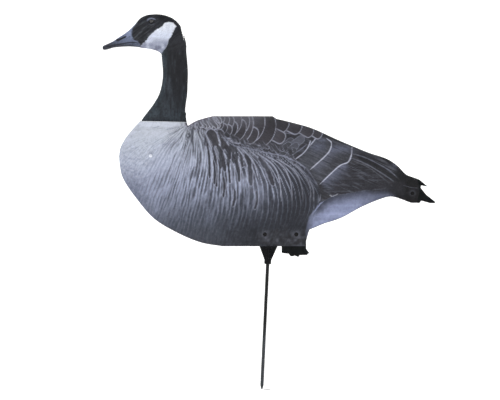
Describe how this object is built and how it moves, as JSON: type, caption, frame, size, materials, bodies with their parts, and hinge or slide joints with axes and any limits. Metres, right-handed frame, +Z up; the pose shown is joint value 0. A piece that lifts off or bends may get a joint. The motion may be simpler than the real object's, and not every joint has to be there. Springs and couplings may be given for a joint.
{
  "type": "goose field decoy",
  "caption": "Pack-flat standing goose decoy: printed sheet folded into a bowed body, hollow lift-out head and neck, and a moulded socket that swivels on a ground stake.",
  "frame": {"origin": "where the stake's axis meets the ground line", "axes": "-X towards the bill, +X towards the tail, +Z up, Y across the body"},
  "size_m": [0.7788, 0.1524, 0.8787],
  "materials": {
    "printed_sheet": "printed plastic sheet, satin",
    "head_plastic": "fine textured paint on blown plastic",
    "eye_plastic": "polished",
    "stake_steel": "dark coating, worn below",
    "nylon": "natural nylon",
    "moulded_black": "as moulded, slight sheen",
    "core_black": "grained sheet",
    "pale_rivet": "as moulded",
    "black_rivet": "as moulded"
  },
  "bodies": {
    "stake": {"stake_rod": "stake_steel"},
    "ferrule": {"stake_ferrule": "nylon"},
    "head": {"head_shell": "head_plastic", "left_eye": "eye_plastic", "right_eye": "eye_plastic", "neck_tongue": "moulded_black"},
    "decoy": {"belly_rivet": "black_rivet", "belly_rivet_cap": "black_rivet", "belly_spacer": "nylon", "body_sheet": "printed_sheet", "breast_rivet": "pale_rivet", "breast_rivet_cap": "pale_rivet", "breast_spacer": "nylon", "feet_plate": "core_black", "spreader_hoop": "moulded_black", "stake_socket": "moulded_black", "tail_plate": "core_black", "tail_rivet": "black_rivet", "tail_rivet_cap": "black_rivet", "tail_spacer": "nylon"}
  },
  "joints": [
    {"name": "stake_swivel", "type": "hinge", "parent": "stake", "child": "ferrule", "pos_m": [0, 0, 0], "axis": [0.0469, 0, 0.9989], "continuous": true},
    {"name": "stake_lift", "type": "slide", "parent": "ferrule", "child": "decoy", "axis": [0.0469, 0, 0.9989], "range_m": [0, 0.06]},
    {"name": "head_lift", "type": "slide", "parent": "decoy", "child": "head", "axis": [0, 0, 1], "range_m": [0, 0.11]}
  ]
}
